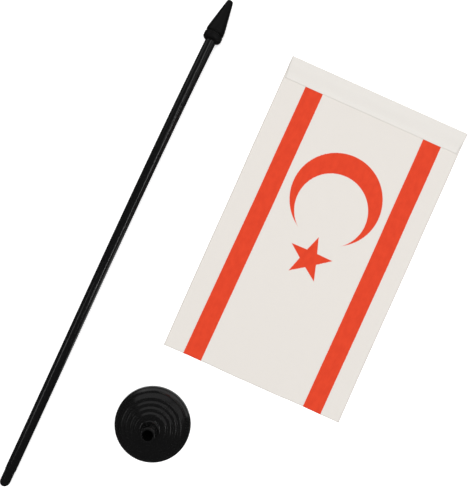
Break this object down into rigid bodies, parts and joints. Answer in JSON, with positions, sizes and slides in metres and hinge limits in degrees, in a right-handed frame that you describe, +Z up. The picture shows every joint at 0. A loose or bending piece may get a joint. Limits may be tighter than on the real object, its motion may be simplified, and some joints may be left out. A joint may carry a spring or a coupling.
{
  "type": "desk flag stand",
  "caption": "Desk flag kit laid flat: stepped round base with a socket, rod with a spear-tip cap, and a small printed flag with an open rod sleeve.",
  "frame": {"origin": "middle of the base's flat underside, on the table that all three loose pieces lie on", "axes": "+Z up from the table, along the base's socket; +X to the right and +Y away from the viewer, with the rod to the left of the base and the flag to its right"},
  "size_m": [0.3389, 0.3488, 0.0257],
  "materials": {
    "base_plastic": "glossy moulded black plastic",
    "rod_plastic": "satin black plastic with fine draw lines along the rod",
    "tip_plastic": "satin moulded black plastic",
    "flag_fabric": "thin off-white woven polyester with a printed orange-red pattern",
    "thread": "white sewing thread"
  },
  "bodies": {
    "base": {"base": "base_plastic"},
    "pole": {"rod": "rod_plastic", "spear_tip": "tip_plastic"},
    "flag": {"flag_cloth": "flag_fabric", "seam_thread": "thread"}
  },
  "joints": [
    {"name": "pole_lift", "type": "slide", "parent": "base", "child": "pole", "axis": [0, 0, 1], "range_m": [0, 0.06]},
    {"name": "flag_lift", "type": "slide", "parent": "base", "child": "flag", "axis": [0, 0, 1], "range_m": [0, 0.06]}
  ]
}
